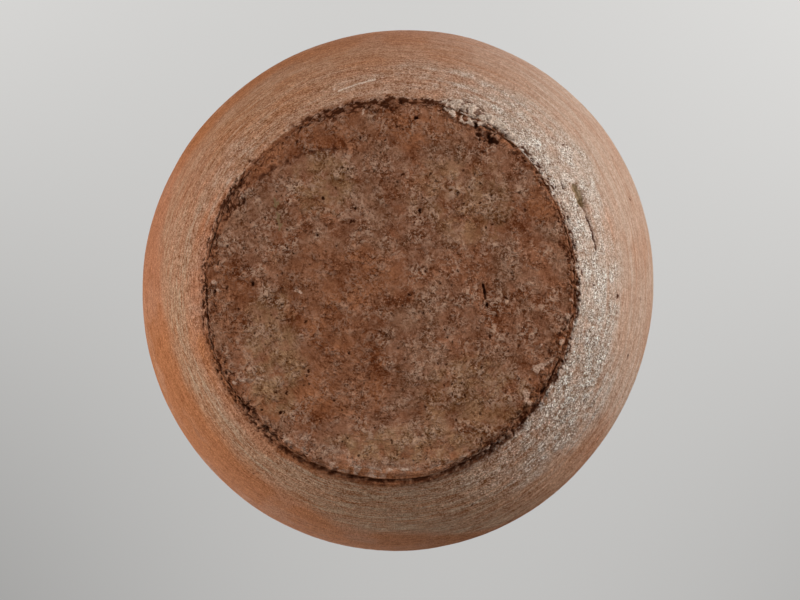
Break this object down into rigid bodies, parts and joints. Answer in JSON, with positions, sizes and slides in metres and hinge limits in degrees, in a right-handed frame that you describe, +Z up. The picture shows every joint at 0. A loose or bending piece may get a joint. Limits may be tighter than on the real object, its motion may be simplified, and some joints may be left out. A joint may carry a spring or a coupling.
{
  "type": "terracotta vase",
  "caption": "Hollow terracotta jar with a flat foot, a round belly, a narrow neck and an everted lip, open at the top.",
  "frame": {"origin": "centre of the underside, on the surface that the jar stands on", "axes": "+Z up the jar's axis and out of its mouth; the gouged side of the wall faces +X, and the roll of clay on the foot lies between +X and -Y"},
  "size_m": [0.1763, 0.1797, 0.19],
  "materials": {
    "terracotta": "matte"
  },
  "bodies": {
    "root": {"vase": "terracotta"}
  },
  "joints": []
}
